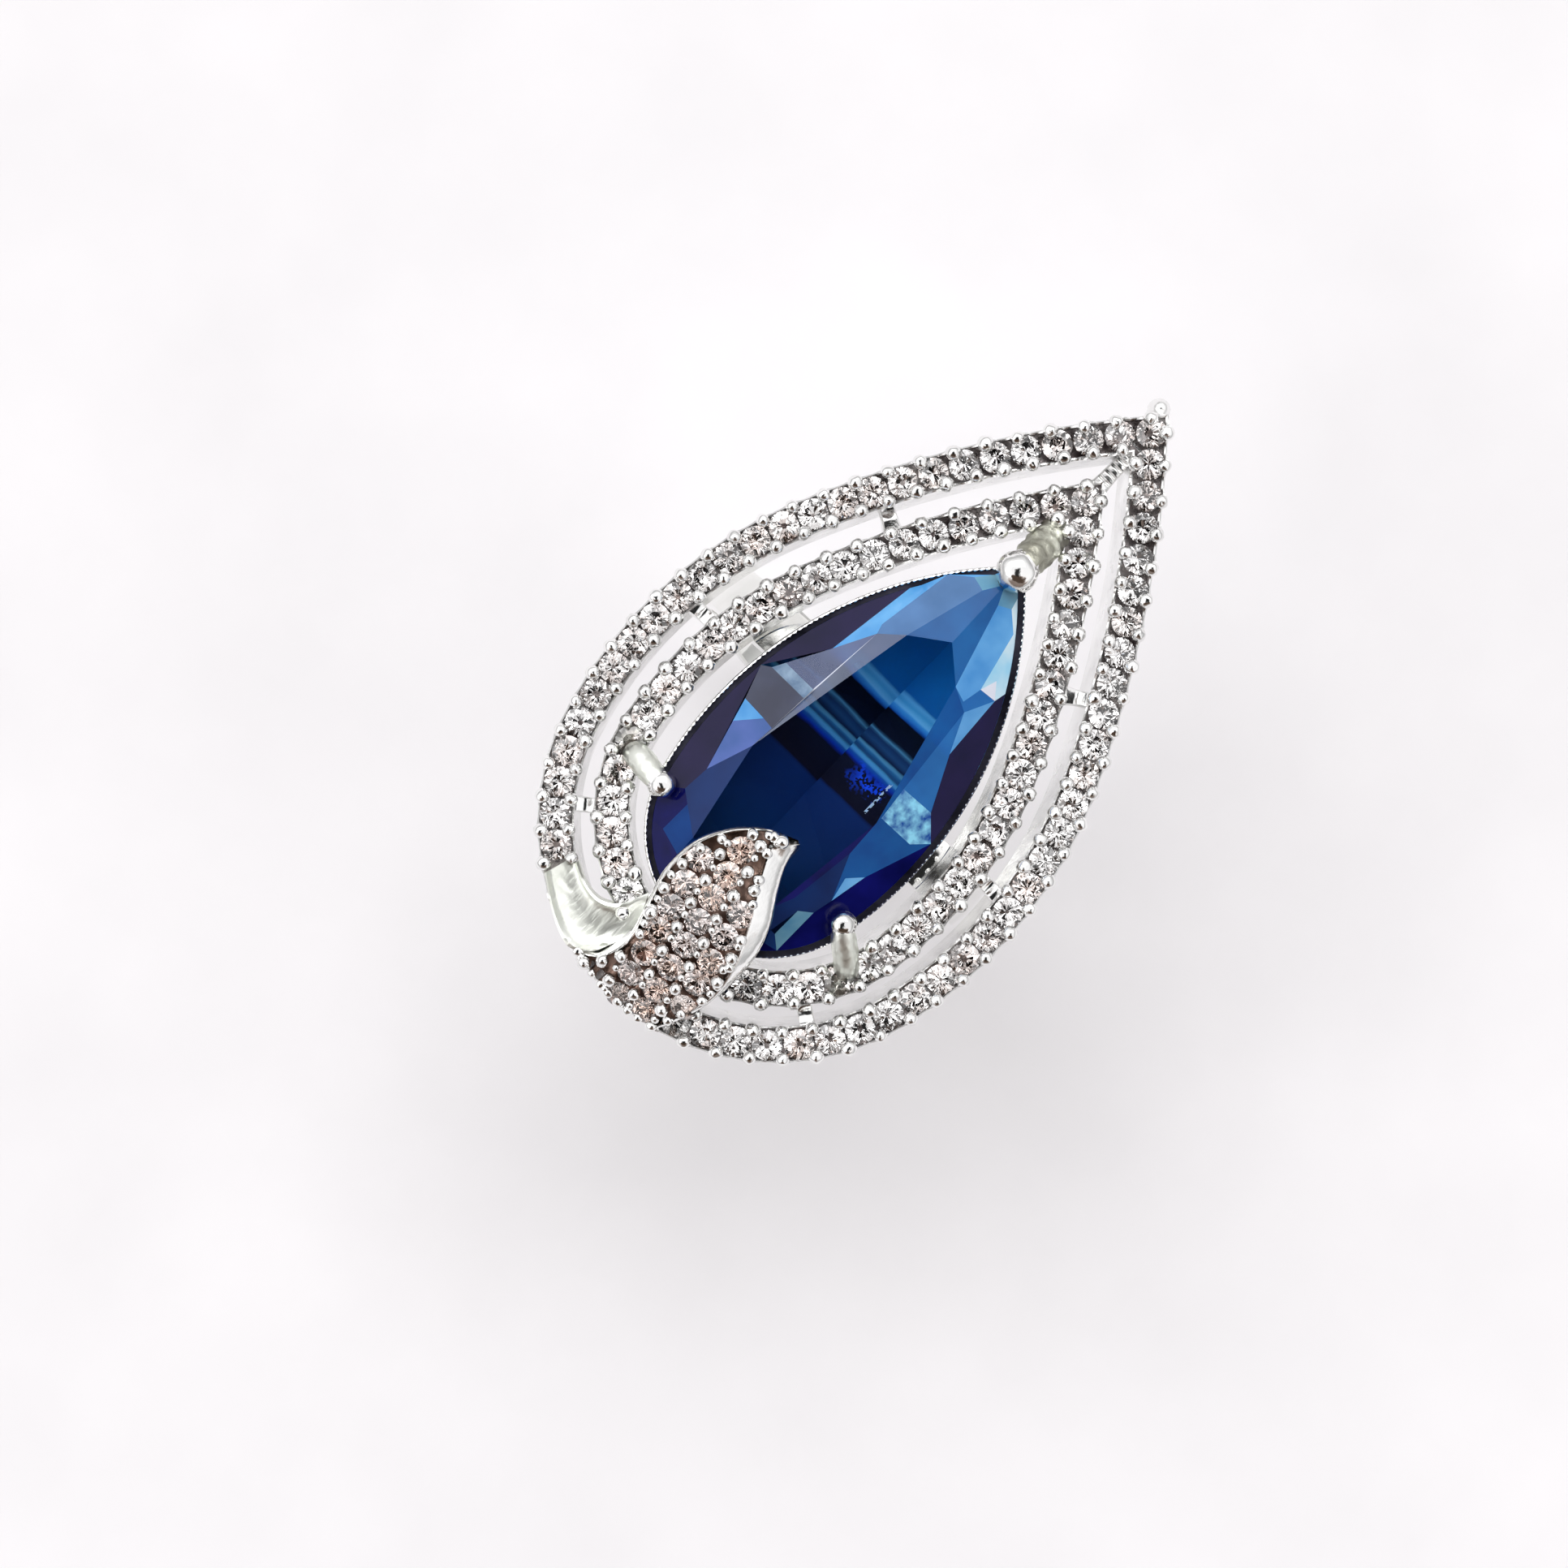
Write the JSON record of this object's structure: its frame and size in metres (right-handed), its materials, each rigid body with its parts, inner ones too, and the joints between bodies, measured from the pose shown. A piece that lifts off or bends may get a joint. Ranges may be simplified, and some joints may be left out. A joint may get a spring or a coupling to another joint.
{
  "type": "cocktail ring",
  "caption": "Cocktail ring: pear-shaped stone in two pear-shaped halos of small stones, a raised stone-set leaf folded over the round end, and a bypass shank.",
  "frame": {"origin": "centre of the finger hole", "axes": "+X along the finger, towards the point of the pear; +Z from the finger up through the head; +Y across the finger"},
  "size_m": [0.035, 0.0216, 0.0263],
  "materials": {
    "blue_stone": "deep blue, polished facets",
    "clear_stones": "colourless, polished facets",
    "champagne_stones": "faint champagne tint, polished facets",
    "head_metal": "bright rhodium plate",
    "bead_metal": "bright rhodium plate, burnished beads",
    "satin_metal": "satin, lightly hammered rhodium plate",
    "shank_metal": "mirror-polished rhodium plate"
  },
  "bodies": {
    "root": {"centre_stone": "blue_stone", "inner_halo_beads_inside": "bead_metal", "inner_halo_beads_outside": "bead_metal", "inner_halo_frame": "head_metal", "inner_halo_stones": "clear_stones", "leaf_beads": "bead_metal", "leaf_curl": "satin_metal", "leaf_root": "head_metal", "leaf_stones": "champagne_stones", "leaf_tray": "head_metal", "outer_halo_beads_inside": "bead_metal", "outer_halo_beads_outside": "bead_metal", "outer_halo_frame": "head_metal", "outer_halo_stones": "clear_stones", "prong_left": "head_metal", "prong_right": "head_metal", "prong_tip": "head_metal", "seat_leg_far": "head_metal", "seat_leg_near": "head_metal", "shank_band": "shank_metal", "stone_seat_rim": "head_metal", "tie_bar_left_mid": "head_metal", "tie_bar_left_root": "head_metal", "tie_bar_left_tip": "head_metal", "tie_bar_point": "head_metal", "tie_bar_right_mid": "head_metal", "tie_bar_right_root": "head_metal", "tie_bar_right_tip": "head_metal"}
  },
  "joints": []
}
